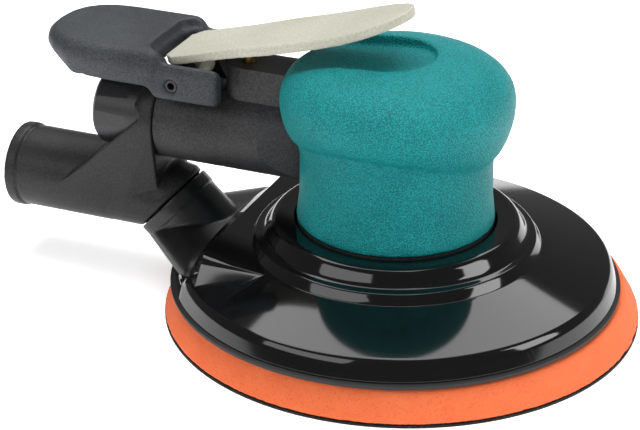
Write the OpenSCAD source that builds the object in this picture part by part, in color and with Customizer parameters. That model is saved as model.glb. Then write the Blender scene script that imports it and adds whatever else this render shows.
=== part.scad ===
// Air-powered random orbital palm sander with a central vacuum shroud.
// The origin is on the motor axis, at the working face of the pad; +Z is up and
// the inlet handle points along -X.  All lengths are in millimetres.

/* [Pad] */
// Diameter of the sanding pad at its working face
pad_dia = 152.4; // [140:0.1:160]
// Thickness of the hook layer on the working face
hook_t = 0.8; // [0.5:0.1:1.2]
// Thickness of the foam cushion above the hook layer
foam_t = 9.4; // [8:0.1:10]
// How far the foam draws in from its foot to its top, on the radius
foam_draft = 5.2; // [3:0.1:7]
// Diameter of the stiff plate moulded into the foam
plate_dia = 126; // [110:1:134]
// Thickness of the stiff plate
plate_t = 2.4; // [1.8:0.1:3]
// Offset of the pad axis from the motor axis (half the orbit diameter)
orbit_offset = 2.5; // [1.5:0.1:3]
// Direction of that offset at rest, from +X towards +Y
orbit_angle = 50; // [0:5:90]

/* [Shroud] */
// Radius of the lower edge of the skirt
skirt_r = 71.6; // [70:0.1:74]
// Gap between the top of the foam and the lower edge of the skirt
skirt_gap = 0.8; // [0.5:0.1:1.5]
// Wall of the shroud
shroud_wall = 2.2; // [1.8:0.1:2.6]
// Radius of the flat-topped collar that grips the housing
collar_r = 39.4; // [38.5:0.1:40]
// Height of the top of that collar
collar_z = 30.8; // [30:0.1:31.5]
// Half width of the duct hood at the back of the shroud
hood_half_w = 35.8; // [34:0.2:38]
// How far the hood mouth stands in from the lower edge of the skirt
hood_set_in = 16.1; // [14:0.1:18]

/* [Head] */
// Radius of the straight neck of the grip
neck_r = 30.4; // [29.8:0.1:31]
// Radius of the widest part of the grip
bulge_r = 36.5; // [35:0.1:38]
// Height of the widest part of the grip
bulge_z = 72; // [70:0.1:74]
// Height of the top of the grip
head_z = 88; // [86:0.5:90]
// Thickness of the rubber cover
cover_t = 2.4; // [2:0.1:2.8]
// Half width of the recess for the lever in the top of the grip
recess_half_w = 14.6; // [14.4:0.1:15.4]

/* [Handle] */
// Radius of the inlet handle
handle_r = 14; // [13:0.1:15]
// Height of the handle axis
handle_z = 54.7; // [54:0.1:56]
// Distance of the handle end behind the motor axis
handle_end = 78; // [76:0.5:82]
// Radius over the corners of the wrench body on the inlet bushing
bushing_r = 12.6; // [12:0.1:13.2]
// Length of that wrench body behind the handle
bushing_len = 18; // [16:0.5:22]

/* [Lever] */
// Distance of the lever pin behind the motor axis
pin_x = 69; // [68:0.5:70]
// Height of the lever pin
pin_z = 72.4; // [72:0.1:74]
// Radius of the lever pin
pin_r = 2; // [1.5:0.1:2.2]
// Length of the paddle in front of the pin
lever_len = 78.6; // [74:0.2:80]
// Half width of the paddle
lever_half_w = 14; // [13:0.1:14.2]
// Thickness of the paddle
lever_t = 3; // [2.4:0.1:3.4]
// Rise of the released lever, in degrees
lever_rise = 15; // [14:0.5:16]
// Travel of the lever from released to pressed, in degrees
lever_sweep = 9; // [8:0.5:9.5]

/* [Vacuum] */
// Outside radius of the hose tube
tube_r = 13.5; // [13:0.1:14]
// Wall of the hose tube
tube_wall = 1.9; // [1.5:0.1:2.4]
// Height of the hose tube axis
tube_z = 27.5; // [27:0.1:28]
// Distance of the tube mouth behind the motor axis
tube_end = 134.4; // [128:0.2:140]
// Slope of the connector below the horizontal, in degrees
duct_slope = 42; // [40:1:44]

/* [Motor] */
// Bore of the cylinder liner, as a radius
liner_bore_r = 18; // [17:0.1:18.5]
// Offset of the liner bore from the motor axis
liner_offset = 1.5; // [1:0.1:2]
// Height of the lower face of the liner
liner_z = 33; // [32:0.5:34]
// Height of the liner between the end plates
liner_h = 22; // [20:0.5:23]
// Number of vanes in the rotor
vane_count = 5; // [4:1:6]

/* [Hidden] */
$fn = 96;

eps = 0.01;
fit_gap = 0.05;      // radial clearance of a running or push fit
seat_gap = 0.2;      // clearance between moulded pieces of one body
move_gap = 0.3;      // clearance between pieces that move past each other

// pad stack, from the floor up
pad_r = pad_dia / 2;
foam_z = hook_t;
foam_top_z = foam_z + foam_t;
plate_z = foam_top_z - plate_t + 0.4;
plate_top_z = plate_z + plate_t;
foam_top_r = pad_r - foam_draft;
skirt_z = foam_top_z + skirt_gap;

// shroud outline, from the rim to the collar
skirt_t = 2.6;
rim_r = skirt_r - skirt_t;
rim_z = skirt_z + 4.4;
cone_foot_r = rim_r - 5.2;
cone_foot_z = rim_z + 0.6;
collar_foot_r = collar_r + 2.8;
collar_top_r = collar_r - 4.6;
step_top_r = collar_foot_r + 3.3;
step_r = step_top_r + 3.3;
ledge_z = collar_z - 5.4;
step_foot_z = ledge_z - 0.2;
barrel_r = neck_r + 0.8;
hood_x = skirt_r - hood_set_in;

// spindle and balancer
spindle_r = 6;
spindle_bearing_r = 11;
spindle_bearing_z = plate_top_z + 2.4;
spindle_bearing_h = 8;
hub_r = spindle_bearing_r + 2.6;
hub_z = spindle_bearing_z - 0.6;
hub_top_z = spindle_bearing_z + spindle_bearing_h + 2;
weight_r = 28;
weight_h = 6;
weight_z = hub_z + 0.4;

// motor stack, from the lock ring up
shaft_r = 5;
lock_ring_z = hub_top_z + 1;
lock_ring_h = 3.6;
plate_h = 5;
lower_plate_z = liner_z - plate_h;
upper_plate_z = liner_z + liner_h;
bearing_w = 5;
lower_bearing_r = 11;
upper_bearing_r = 9;
liner_r = 22.4;
cavity_r = liner_r + fit_gap;
cavity_top_z = upper_plate_z + plate_h + 1.2;
rotor_r = liner_bore_r - liner_offset - 0.1;
rotor_end_gap = 0.1;
vane_t = 1.6;
vane_depth = 7.5;
barrel_z = weight_z + weight_h + 0.8;
clip_z = barrel_z + 1.1;     // clip that holds the shroud up against the grip
clip_h = 1.2;
core_r = neck_r - cover_t;
core_top_z = head_z - cover_t - 5;
core_shoulder = 8.6;    // how far the top of the core stands in from the cover's inside
motor_seal_r = liner_r - 4.4;

// grip cover
cover_foot_z = 33.4;
cover_foot_r = 31.4;
crease_side_z = 64.5;   // height of the crease under the bulge, at the two sides
crease_end_z = 56.5;    // and at the front and the back
dome_power = 2.6;
recess_nose = 11.8;     // front end of the lever recess, from the motor axis
recess_back = 29;       // where its square corners round off at the back

// lever, in its own frame with the pin at the origin
lever_under = 5;        // underside of the paddle above the pin
lever_curl = 2.6;       // how far the tip turns up
lever_flat = 44;        // length in front of the pin that stays straight
hub_lever_r = 4.3;
hub_half_w = 6;
lever_rear = 3.5;
lever_rear_half_w = lever_half_w - 1.6;
lever_widens = lever_len / 4;     // where the paddle starts to widen
lever_wide = lever_len * 0.43;    // and where it has its full width
lever_round = lever_len * 0.3;    // length of its elliptical tip
pressed_rise = lever_rise - lever_sweep;
recess_z = pin_z + lever_under / cos(pressed_rise) + pin_x * tan(pressed_rise) - move_gap;

// lug block that holds the lever pin, and the valve tower in front of it
lug_in = hub_half_w + move_gap;
lug_out = 10;
lug_back = handle_end - 1.5;
lug_front = 56;
lug_r = lever_under - move_gap;   // round top of the lugs and of the bosses

// throttle valve
valve_x = 50;           // distance of the valve behind the motor axis
tower_half_w = 7.4;
tower_front = 24;
tower_back = valve_x + tower_half_w;
tower_top = 77.6;

// flat sides that narrow the handle towards the head
taper_x = 41.4;         // where they start, behind the motor axis
taper_angle = 23;
stem_r = 2.5;
stem_top = pin_z + stem_r + (lever_under - move_gap - stem_r) / cos(lever_rise)
           + (pin_x - valve_x) * tan(lever_rise);
chamber_r = 5.2;
chamber_z = handle_z - 10.6;
chamber_top = handle_z + 8;
poppet_z = handle_z - 0.6;
poppet_h = 2;
spring_r = 3.2;         // valve spring: radius of the coil, of the wire, and its turns
spring_wire = 0.4;
spring_turns = 6;
spring_gap = 0.05;
spring_len = poppet_z - chamber_z - 2 * spring_gap;
seat_h = 3;
port_r = 1.8;           // sloping port from the chamber to the cylinder
port_z = chamber_top - port_r;
port_slope = 26;
inlet_r = 4.4;          // passage along the handle

// inlet
inlet_bore_r = 5.7;     // minor radius of a 1/4 inch pipe thread
inlet_bore_len = 13;
thread_r = 9.6;
thread_len = 14;
flange_t = 4.4;         // clamping ring of the vacuum elbow behind the handle
flange_gap = 0.3;
bushing_x = handle_end + flange_gap + flange_t + 0.1;
bushing_end = bushing_x + bushing_len;
seal_x = handle_end - thread_len + 7;

// vacuum duct
bead_r = tube_r + 0.6;
bead_len = 3.9;
flange_r = 14.6;
web_back = 116;
web_slope = -43;        // of the upper edge of the web
groove_len = 0.8;
collar_x = 78.5;
collar_cz = 24.2;
bend_x = collar_x + (tube_z - collar_cz) / tan(duct_slope);   // corner of the elbow axis
duct_r = 13.8;
duct_wall = 2;
spigot_r = duct_r - duct_wall - seat_gap;
spigot_seal_z = 2.4;
hood_top_z = 23;
hood_floor_z = rim_z - 3.2;
hood_power = 2.8;       // of the superellipse that arches over the mouth
hood_wall = 1.7;
hood_front = 29;
hood_front_half_w = 39;
connector_foot = 3;     // how far the connector reaches into the hood
connector_floor_z = rim_z - 0.9;
connector_wall = 1;
connector_flat = 0.52;  // height of the round end of its flat part, against its width

// wrist platform
arm_out = 18.6;
arm_in = lever_rear_half_w + move_gap + 0.2;
arm_front = 53;
arm_top = 79.3;
arm_foot = 67.3;
arm_edge = 1.9;         // rounding of the arms
platform_top = 83;
platform_foot = 70.5;
platform_back = 118.4;
platform_half_w = 20.6;
platform_edge = 5;      // rounding of its upper edge
platform_wall = 2.8;
straight_back = 98;     // where its straight sides end
notch_back = 77.4;
notch_corner = 5;
apron_z = 75.5;         // lower edge of the wall behind the notch

module at_crank() {
  rotate([0, 0, orbit_angle]) translate([orbit_offset, 0, 0]) children();
}

// a cylinder along X between two distances behind the motor axis
module x_rod(far, near, z, r) {
  translate([-far, 0, z]) rotate([0, 90, 0]) cylinder(h = far - near, r = r);
}

// a cylinder along Y, centred on the handle's plane
module y_rod(x, z, r, half_len) {
  translate([x, 0, z]) rotate([90, 0, 0]) cylinder(h = 2 * half_len, r = r, center = true);
}

module ring(z, h, r_in, r_out) {
  translate([0, 0, z]) difference() {
    cylinder(h = h, r = r_out);
    translate([0, 0, -1]) cylinder(h = h + 2, r = r_in);
  }
}

module o_ring(r, t) {
  rotate_extrude() translate([r, 0]) circle(r = t, $fn = 32);
}

// ---------------------------------------------------------------- grip outline

function crease_z(a) = crease_side_z - (crease_side_z - crease_end_z) * pow(cos(a), 2);
function swell(t, p) = pow(1 - pow(1 - t, p), 1 / p);

// points of one vertical outline of the grip at angle a: [radius, height]
function grip_outline(a) = let (zc = crease_z(a)) concat(
  [[cover_foot_r, cover_foot_z], [neck_r, cover_foot_z + 8], [neck_r - 0.2, zc - 4], [neck_r + 0.4, zc]],
  [for (i = [1 : 5]) let (t = i / 5)
     [neck_r + (bulge_r - neck_r) * swell(t, 1.6), zc + (bulge_z - zc) * t]],
  [for (i = [1 : 8]) let (s = sin(90 * i / 8.4))
     [bulge_r * pow(1 - pow(s, dome_power), 1 / dome_power), bulge_z + (head_z - bulge_z) * s]]);

module grip_solid() {
  sides = 60;
  rows = len(grip_outline(0));
  pts = concat(
    [for (k = [0 : sides - 1]) let (a = 360 * k / sides)
       for (p = grip_outline(a)) [p[0] * cos(a), p[0] * sin(a), p[1]]],
    [[0, 0, cover_foot_z], [0, 0, head_z]]);
  foot = sides * rows;
  top = foot + 1;
  at = function (k, j) (k % sides) * rows + j;
  faces = concat(
    [for (k = [0 : sides - 1]) for (j = [0 : rows - 2]) [at(k, j), at(k, j + 1), at(k + 1, j)]],
    [for (k = [0 : sides - 1]) for (j = [0 : rows - 2]) [at(k + 1, j), at(k, j + 1), at(k + 1, j + 1)]],
    [for (k = [0 : sides - 1]) [foot, at(k, 0), at(k + 1, 0)]],
    [for (k = [0 : sides - 1]) [top, at(k + 1, rows - 1), at(k, rows - 1)]]);
  polyhedron(points = pts, faces = faces, convexity = 6);
}

// outline of the stiff core under the rubber, grown by g
module core_outline(g = 0) {
  polygon([[0, barrel_z - 2 * eps], [core_r + g, barrel_z - 2 * eps], [core_r + g, crease_side_z - 2],
           [bulge_r - cover_t - 2.6 + g, bulge_z - 4], [bulge_r - cover_t - 2.6 + g, bulge_z + 3],
           [bulge_r - cover_t - core_shoulder + g, core_top_z + g], [0, core_top_z + g]]);
}

// recess for the pressed lever: round at the front, open at the back
module recess() {
  corner = 3;
  centre = recess_nose - recess_half_w;
  translate([0, 0, recess_z]) rotate([0, -pressed_rise, 0]) linear_extrude(height = 30) {
    translate([centre, 0]) circle(r = recess_half_w);
    translate([-recess_back, -recess_half_w]) square([recess_back + centre, 2 * recess_half_w]);
    for (s = [-1, 1]) translate([-recess_back, s * (recess_half_w - corner)]) circle(r = corner);
    translate([-recess_back - 20, corner - recess_half_w]) square([40, 2 * (recess_half_w - corner)]);
  }
}

module grip_cover() {
  color("teal") difference() {
    grip_solid();
    rotate_extrude() core_outline(seat_gap);
    translate([0, 0, cover_foot_z - 1]) cylinder(h = 20, r = core_r + seat_gap);
    recess();
    flank(seat_gap);
    tower(seat_gap);
  }
}

// ---------------------------------------------------------------- motor housing

// handle tube, with the flat sides that narrow it towards the head, grown by g
module flank(g = 0) {
  difference() {
    x_rod(handle_end, 15, handle_z, handle_r + g);
    for (s = [0, 1]) mirror([0, s, 0]) translate([-taper_x, handle_r + g, handle_z - 2 * handle_r])
      rotate([0, 0, -taper_angle]) cube([60, handle_r, 4 * handle_r]);
  }
}

// valve tower and the bridge that carries it into the head, grown by g
module tower(g = 0) {
  translate([-valve_x, 0, handle_z + 5]) {
    cylinder(h = tower_top - handle_z - 5 + g, r = tower_half_w + g);
    translate([0, -tower_half_w - g, 0])
      cube([valve_x - tower_front + 4, 2 * (tower_half_w + g), tower_top - handle_z - 5 + g]);
  }
}

// two ears on the handle that hold the lever pin
module lugs() {
  for (s = [-1, 1]) translate([0, s * (lug_in + lug_out) / 2, 0]) rotate([90, 0, 0])
    linear_extrude(height = lug_out - lug_in, center = true) {
      translate([-pin_x, pin_z]) circle(r = lug_r);
      polygon([[-lug_back, handle_z + 4], [-lug_front, handle_z + 4],
               [-pin_x + 0.8 * lug_r, pin_z + 0.6 * lug_r],
               [-pin_x - 0.8 * lug_r, pin_z + 0.6 * lug_r], [-lug_back, handle_z + handle_r + 1]]);
    }
}

module motor_housing() {
  color("darkslategray") difference() {
    union() {
      rotate_extrude() core_outline();
      translate([0, 0, barrel_z]) cylinder(h = cover_foot_z - barrel_z - 0.2, r = barrel_r);
      difference() {
        union() {
          flank();
          tower();
          lugs();
        }
        translate([0, 0, barrel_z]) cylinder(h = core_top_z - barrel_z, r = core_r - 1);
      }
    }
    recess();
    translate([0, 0, barrel_z - 1]) cylinder(h = cavity_top_z - barrel_z + 1, r = cavity_r);
    // slot between the lugs for the lever hub
    translate([-lug_back - 1, -lug_in, handle_z + handle_r - 0.6])
      cube([lug_back - tower_back + 1, 2 * lug_in, 20]);
    y_rod(-pin_x, pin_z, pin_r + fit_gap, lug_out + 1);
    // inlet passage, valve chamber and stem bore
    x_rod(handle_end + 1, handle_end - thread_len - 1, handle_z, thread_r + fit_gap);
    x_rod(handle_end, valve_x, handle_z, inlet_r);
    translate([-valve_x, 0, port_z]) rotate([0, 90 + port_slope, 0])
      cylinder(h = valve_x - cavity_r + 4, r = port_r);
    translate([-valve_x, 0, chamber_z]) cylinder(h = chamber_top - chamber_z, r = chamber_r);
    translate([-valve_x, 0, chamber_z]) cylinder(h = 60, r = stem_r + fit_gap);
    // groove for the stem seal
    translate([-valve_x, 0, tower_top - 6]) cylinder(h = 2.2, r = stem_r + 1.4);
    // groove for the clip that holds the shroud
    ring(clip_z - 0.1, clip_h + 0.2, barrel_r - 1.4, barrel_r + 1);
    // hole for the alignment pin of the cylinder
    translate([0, -(liner_r - 2.2), upper_plate_z + plate_h - eps]) cylinder(h = 3, r = 1.05);
  }
}

// ---------------------------------------------------------------- lever

module lever_outline() {
  difference() {
    union() {
      polygon([[-lever_rear, -lever_rear_half_w], [lever_widens, -lever_rear_half_w],
               [lever_wide, -lever_half_w], [lever_len - lever_round, -lever_half_w],
               [lever_len - lever_round, lever_half_w], [lever_wide, lever_half_w],
               [lever_widens, lever_rear_half_w], [-lever_rear, lever_rear_half_w]]);
      intersection() {
        translate([lever_len - lever_round, 0]) scale([lever_round / lever_half_w, 1])
          circle(r = lever_half_w);
        translate([lever_len - lever_round, -lever_half_w]) square([lever_round, 2 * lever_half_w]);
      }
    }
    for (s = [-1, 1]) translate([-lever_rear, s * lever_rear_half_w]) rotate([0, 0, 45])
      square([4, 4], center = true);
  }
}

// side outline of the paddle: flat at the back, curling up over its front third
module lever_side() {
  steps = 12;
  curl = function (x) lever_curl * pow(max(0, x - lever_flat) / (lever_len - lever_flat), 2);
  low = [for (i = [0 : steps]) let (x = -lever_rear + (lever_len + lever_rear) * i / steps)
           [x, lever_under + curl(x)]];
  high = [for (i = [steps : -1 : 0]) let (x = -lever_rear + (lever_len + lever_rear) * i / steps)
            [x, lever_under + lever_t + curl(x)]];
  polygon(concat(low, high));
}

module throttle_lever() {
  color("linen") translate([-pin_x, 0, pin_z]) rotate([0, -lever_rise, 0]) difference() {
    union() {
      intersection() {
        rotate([90, 0, 0]) linear_extrude(height = 40, center = true) lever_side();
        translate([0, 0, -5]) linear_extrude(height = 40) lever_outline();
      }
      y_rod(0, 0, hub_lever_r, hub_half_w);
      translate([-hub_lever_r, -hub_half_w, 0]) cube([2 * hub_lever_r, 2 * hub_half_w, lever_under + 1]);
      // two ribs that carry the load from the hub out under the paddle
      for (s = [-1, 1]) translate([0, s * (hub_half_w - 0.9), 0]) rotate([90, 0, 0])
        linear_extrude(height = 1.8, center = true)
          polygon([[0, 1], [5, 1.2], [9, lever_under + 0.5], [0, lever_under + 0.5]]);
    }
    y_rod(0, 0, pin_r + fit_gap, hub_half_w + 1);
  }
}

module lever_pin() {
  color("silver") difference() {
    y_rod(-pin_x, pin_z, pin_r, arm_out - 0.8);
    y_rod(-pin_x, pin_z, pin_r - 0.8, arm_out);
  }
}

// ---------------------------------------------------------------- wrist platform

// rounded body of the platform, shrunk by g, with its foot lowered by drop
module saddle(g = 0, drop = 0) {
  reach = platform_back - platform_edge - straight_back;
  side = platform_half_w - platform_edge;
  foot_r = 3;
  hull() {
    // upper edge: straight along the sides, a superellipse round the back
    for (s = [-1, 1]) translate([-notch_back + 0.4, s * side, platform_top - platform_edge])
      sphere(r = platform_edge - g, $fn = 20);
    for (a = [-90 : 18 : 90]) let (u = pow(cos(a), 0.8), r = platform_edge - 1.6 * u)
      translate([-straight_back - (reach + 1.6) * u, side * sign(a) * pow(abs(sin(a)), 0.8),
                 platform_top - r]) sphere(r = r - g, $fn = 20);
    // lower edge, drawn in towards the back
    for (p = [[straight_back + 5, side], [straight_back - 6, side + 1], [notch_back, side + 1]])
      for (s = [-1, 1]) translate([-p[0], s * p[1], platform_foot + foot_r - drop])
        sphere(r = foot_r - 0.6 * g, $fn = 16);
  }
}

// one arm, with rounded edges and an inner edge lower than the outer one
module arm(s) {
  inner = arm_in + arm_edge;
  outer = arm_out - arm_edge;
  hull() {
    for (x = [-arm_front - arm_edge, -notch_back - 4]) {
      translate([x, s * outer, arm_top - arm_edge]) sphere(r = arm_edge, $fn = 16);
      translate([x, s * inner, arm_top - arm_edge - 1.4]) sphere(r = arm_edge, $fn = 16);
    }
    for (y = [inner, outer]) {
      translate([-arm_front - arm_edge, s * y, arm_foot + arm_edge]) sphere(r = arm_edge, $fn = 16);
      translate([-notch_back + 3, s * y, arm_foot + arm_edge]) sphere(r = arm_edge, $fn = 16);
    }
  }
}

// square notch with rounded corners, grown by g
module notch(g = 0) {
  corner_y = arm_in + g - notch_corner;
  hull() {
    for (s = [-1, 1]) translate([-notch_back - g + notch_corner, s * corner_y])
      circle(r = notch_corner, $fn = 48);
    translate([0, -corner_y - notch_corner]) square([1, 2 * (corner_y + notch_corner)]);
  }
}

// bosses that reach in from the arms to the lugs
module arm_bosses() {
  from = lug_out + seat_gap;
  for (s = [-1, 1]) translate([0, s * (from + arm_in + 1) / 2, 0])
    y_rod(-pin_x, pin_z, lug_r, (arm_in + 1 - from) / 2);
}

module wrist_platform() {
  color("dimgray") difference() {
    union() {
      difference() {
        union() {
          saddle();
          for (s = [-1, 1]) arm(s);
        }
        // hollow underside, closed at the notch by a low apron
        difference() {
          saddle(platform_wall, 12);
          translate([-notch_back - platform_wall, -30, apron_z]) cube([40, 60, 30]);
        }
        translate([0, 0, 50]) linear_extrude(height = 50) notch();
        // bevelled rim of the notch
        translate([0, 0, platform_top - 3]) linear_extrude(height = 4) notch(1.6);
      }
      arm_bosses();
    }
    y_rod(-pin_x, pin_z, pin_r + fit_gap, 30);
  }
}

// ---------------------------------------------------------------- inlet

module inlet_bushing() {
  color("black") difference() {
    union() {
      x_rod(bushing_x + eps, handle_end - thread_len, handle_z, thread_r);
      intersection() {
        x_rod(bushing_end, bushing_x, handle_z, bushing_r);
        translate([-bushing_end, 0, handle_z]) rotate([0, 90, 0])
          cylinder(h = bushing_len, r1 = bushing_r - 1.1, r2 = bushing_r - 1.1 + bushing_len);
        union() {
          x_rod(bushing_x + 6, bushing_x, handle_z, bushing_r);
          translate([-bushing_end, 0, handle_z]) rotate([0, 90, 0]) rotate([0, 0, 22.5])
            cylinder(h = bushing_len, r1 = bushing_r + 0.75, r2 = bushing_r + 0.95, $fn = 8);
        }
      }
    }
    x_rod(bushing_end + 1, bushing_end - inlet_bore_len, handle_z, inlet_bore_r);
    x_rod(bushing_end, handle_end - thread_len - 1, handle_z, 4.8);
    translate([-handle_end + thread_len - 2.4, 0, handle_z]) rotate([0, 90, 0])
      cylinder(h = 3, r = 7.2);
    // groove for the seal
    translate([-seal_x, 0, handle_z]) rotate([0, 90, 0]) ring(-0.6, 1.2, thread_r - 1, thread_r + 1);
  }
}

module inlet_screen() {
  color("silver") difference() {
    x_rod(handle_end - thread_len + 2.2, handle_end - thread_len + 1.4, handle_z, 7.1);
    for (y = [-4.5 : 1.5 : 4.5]) for (z = [-4.5 : 1.5 : 4.5])
      if (norm([y, z]) < 5.5) translate([-handle_end, y, handle_z + z]) rotate([0, 90, 0])
        cylinder(h = thread_len + 2, r = 0.5, $fn = 13);
  }
}

module bushing_o_ring() {
  color("black") translate([-seal_x, 0, handle_z]) rotate([0, 90, 0])
    o_ring(thread_r - 0.5, 0.48);
}

// ---------------------------------------------------------------- throttle valve

module valve_stem() {
  color("goldenrod") translate([-valve_x, 0, 0]) {
    translate([0, 0, poppet_z]) cylinder(h = poppet_h, r = chamber_r - 0.8);
    translate([0, 0, poppet_z]) cylinder(h = stem_top - poppet_z - stem_r, r = stem_r);
    translate([0, 0, stem_top - stem_r]) sphere(r = stem_r, $fn = 48);
  }
}

module valve_o_ring() {
  color("black") translate([-valve_x, 0, tower_top - 4.9]) o_ring(stem_r + 0.78, 0.62);
}

module valve_seat() {
  color("white") translate([-valve_x, 0, 0])
    ring(poppet_z + poppet_h + 0.1, seat_h, stem_r + 0.9, chamber_r - fit_gap);
}

// height of the wire's centre after t turns: the first and the last turn lie flat
function coil_z(t) = let (flat = 2 * spring_wire, rise = spring_len - 2 * spring_wire - 2 * flat)
  t < 1 ? flat * t
        : t > spring_turns - 1 ? flat + rise + flat * (t - spring_turns + 1)
        : flat + rise * (t - 1) / (spring_turns - 2);

// coil spring under the poppet
module valve_spring() {
  per_turn = 16;
  sides = 8;
  last = spring_turns * per_turn;
  pts = [for (k = [0 : last]) for (j = [0 : sides - 1])
           let (r = spring_r + spring_wire * cos(360 * j / sides), a = 360 * k / per_turn)
           [r * cos(a), r * sin(a), coil_z(k / per_turn) + spring_wire * sin(360 * j / sides)]];
  faces = concat(
    [for (k = [0 : last - 1]) for (j = [0 : sides - 1]) let (m = (j + 1) % sides)
       [k * sides + j, k * sides + m, (k + 1) * sides + j]],
    [for (k = [0 : last - 1]) for (j = [0 : sides - 1]) let (m = (j + 1) % sides)
       [k * sides + m, (k + 1) * sides + m, (k + 1) * sides + j]],
    [[for (j = [sides - 1 : -1 : 0]) j]],
    [[for (j = [0 : sides - 1]) last * sides + j]]);
  color("silver") translate([-valve_x, 0, chamber_z + spring_gap + spring_wire])
    polyhedron(points = pts, faces = faces, convexity = 8);
}

// ---------------------------------------------------------------- air motor

module cylinder_liner() {
  color("silver") difference() {
    translate([0, 0, liner_z]) cylinder(h = liner_h, r = liner_r);
    translate([liner_offset, 0, liner_z - 1]) cylinder(h = liner_h + 2, r = liner_bore_r);
    // inlet and exhaust slots
    for (a = [150, 180, 210]) rotate([0, 0, a]) translate([15, -1.2, liner_z + 5])
      cube([12, 2.4, liner_h - 10]);
    for (a = [-20, 0, 20]) rotate([0, 0, a]) translate([15, -1, liner_z + 7]) cube([12, 2, liner_h - 14]);
    translate([0, -(liner_r - 2.2), liner_z + liner_h - 4]) cylinder(h = 5, r = 1.05);
  }
}

module rotor() {
  color("lightsteelblue") difference() {
    translate([0, 0, liner_z + rotor_end_gap])
      cylinder(h = liner_h - 2 * rotor_end_gap, r = rotor_r);
    translate([0, 0, liner_z - 1]) cylinder(h = liner_h + 2, r = shaft_r + fit_gap);
    for (i = [0 : vane_count - 1]) rotate([0, 0, 18 + 360 * i / vane_count])
      translate([rotor_r - vane_depth - 0.2, -vane_t / 2 - fit_gap, liner_z - 1])
        cube([vane_depth + 2, vane_t + 2 * fit_gap, liner_h + 2]);
    // keyway
    translate([shaft_r - 1, -1.05, liner_z - 1]) cube([2.2, 2.1, liner_h + 2]);
  }
}

module rotor_vanes() {
  color("saddlebrown") for (i = [0 : vane_count - 1]) rotate([0, 0, 18 + 360 * i / vane_count])
    translate([rotor_r - vane_depth, -vane_t / 2, liner_z + 2 * rotor_end_gap])
      cube([vane_depth - 0.1, vane_t, liner_h - 4 * rotor_end_gap]);
}

module rotor_key() {
  color("gray") translate([shaft_r - 0.9, -1, liner_z + 6]) cube([2, 2, 10]);
}

module end_plate(z, bearing_r, bearing_z, shaft_hole) {
  difference() {
    translate([0, 0, z]) cylinder(h = plate_h, r = liner_r);
    translate([0, 0, z - 1]) cylinder(h = plate_h + 2, r = shaft_hole);
    translate([0, 0, bearing_z]) cylinder(h = bearing_w, r = bearing_r + fit_gap);
    translate([0, -(liner_r - 2.2), z - 1]) cylinder(h = plate_h + 2, r = 1.05);
  }
}

module upper_end_plate() {
  color("gainsboro") end_plate(upper_plate_z, upper_bearing_r, upper_plate_z + 1.2, shaft_r + 0.6);
}

module lower_end_plate() {
  color("gainsboro") end_plate(lower_plate_z, lower_bearing_r, lower_plate_z - 1.2, shaft_r + 0.6);
}

// sealed ball bearing: two races with a sunk shield between them on each face
module bearing(z, h, r_in, r_out) {
  race = (r_out - r_in) * 0.28;
  sunk = 0.5;
  difference() {
    ring(z, h, r_in, r_out);
    ring(z - 1, 1 + sunk, r_in + race, r_out - race);
    ring(z + h - sunk, 1 + sunk, r_in + race, r_out - race);
  }
}

module upper_bearing() {
  color("silver") bearing(upper_plate_z + 1.2, bearing_w - 0.02, shaft_r - 1 + fit_gap, upper_bearing_r);
}

module lower_bearing() {
  color("silver") bearing(lower_plate_z - 1.2, bearing_w - 0.02, shaft_r + fit_gap, lower_bearing_r);
}

module motor_lock_ring() {
  color("slategray") difference() {
    ring(lock_ring_z, lock_ring_h, 15, liner_r - 0.1);
    for (a = [0 : 60 : 300]) rotate([0, 0, a]) translate([18.4, 0, lock_ring_z - 1])
      cylinder(h = 2.6, r = 1.2, $fn = 24);
  }
}

module cylinder_o_ring() {
  color("black") translate([0, 0, upper_plate_z + plate_h + 0.6]) o_ring(motor_seal_r, 0.55);
}

module alignment_pin() {
  color("silver") translate([0, -(liner_r - 2.2), liner_z + liner_h - 3.9])
    cylinder(h = plate_h + 6.6, r = 1);
}

// shaft with its eccentric hub and the counterweight that balances the pad
module shaft_balancer() {
  color("darkgray") difference() {
    union() {
      translate([0, 0, hub_top_z - 2]) cylinder(h = upper_plate_z - hub_top_z + 2.2, r = shaft_r);
      translate([0, 0, hub_top_z - 2]) cylinder(h = upper_plate_z + plate_h - hub_top_z + 3, r = shaft_r - 1);
      translate([0, 0, hub_top_z - 0.5]) cylinder(h = 1.2, r = shaft_r + 1.6);
      at_crank() translate([0, 0, hub_z]) cylinder(h = hub_top_z - hub_z, r = hub_r);
      // counterweight opposite the crank
      rotate([0, 0, orbit_angle + 180]) translate([0, 0, weight_z]) intersection() {
        cylinder(h = weight_h, r = weight_r);
        translate([4, -weight_r, -1]) cube([weight_r, 2 * weight_r, weight_h + 2]);
      }
    }
    at_crank() translate([0, 0, hub_z - 1])
      cylinder(h = spindle_bearing_z + spindle_bearing_h - hub_z + 1, r = spindle_bearing_r + fit_gap);
    translate([shaft_r - 1, -1.05, liner_z + 5.8]) cube([2, 2.1, 10.4]);
  }
}

// ---------------------------------------------------------------- spindle and pad

module spindle_bearings() {
  color("silver") at_crank()
    bearing(spindle_bearing_z + 1.4, spindle_bearing_h - 1.5, spindle_r + fit_gap, spindle_bearing_r);
}

module bearing_clip() {
  color("dimgray") at_crank() difference() {
    ring(spindle_bearing_z + 0.1, 1.1, spindle_bearing_r - 1.8, spindle_bearing_r - 0.1);
    rotate([0, 0, -20]) translate([0, -2, spindle_bearing_z - 1]) cube([20, 4, 4]);
  }
}

module pad_spindle() {
  color("silver") at_crank() {
    translate([0, 0, plate_top_z]) cylinder(h = 1.8, r = spindle_r * 1.4, $fn = 6);
    translate([0, 0, plate_top_z + 1.7]) cylinder(h = spindle_bearing_h + 0.4, r = spindle_r);
    translate([0, 0, plate_z - 3]) cylinder(h = plate_top_z - plate_z + 3.1, r = 3.9);
  }
}

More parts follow.
